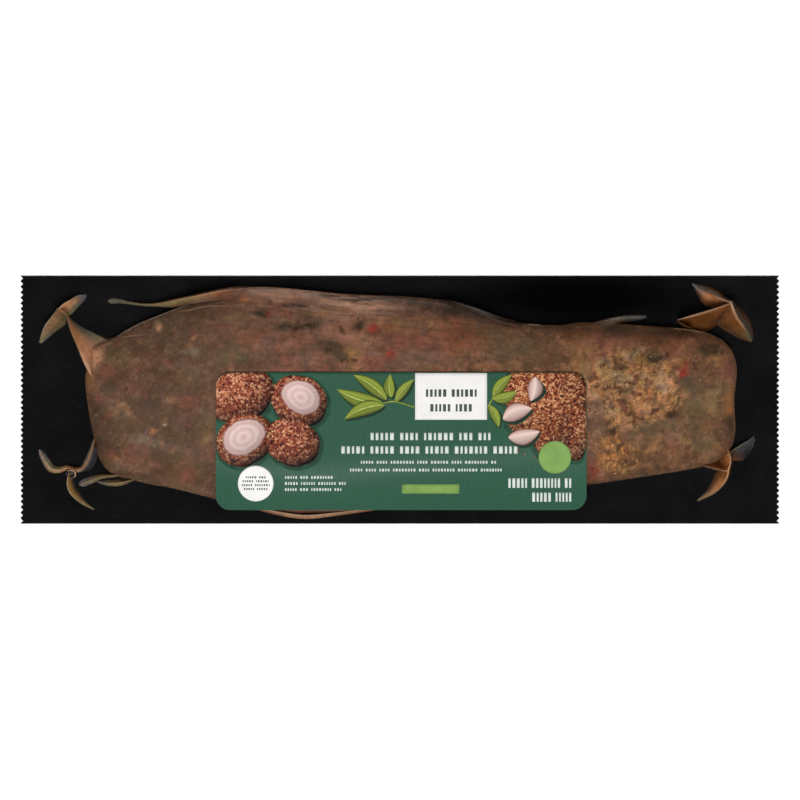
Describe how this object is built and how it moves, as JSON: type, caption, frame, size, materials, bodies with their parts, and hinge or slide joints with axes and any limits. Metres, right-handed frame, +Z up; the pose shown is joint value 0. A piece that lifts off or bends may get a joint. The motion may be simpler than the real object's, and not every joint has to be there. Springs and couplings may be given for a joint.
{
  "type": "packed raw pork tenderloin",
  "caption": "Raw dry-rubbed pork tenderloin sealed under tight clear film on a black backing sheet with zig-zag cut ends and a printed label.",
  "frame": {"origin": "middle of the underside of the backing web", "axes": "+X along the pack, towards the end with the thick patch of rub, +Y across it, away from the label's overhanging edge, +Z up through the meat"},
  "size_m": [0.35, 0.1142, 0.0263],
  "materials": {
    "black_film": "smooth black plastic film with a soft gloss",
    "rubbed_meat": "raw pork dusted with dried herbs, seen through clear film",
    "printed_label": "printed label with a satin varnish"
  },
  "bodies": {
    "root": {"backing_web": "black_film", "tenderloin_in_film": "rubbed_meat", "label": "printed_label"}
  },
  "joints": []
}
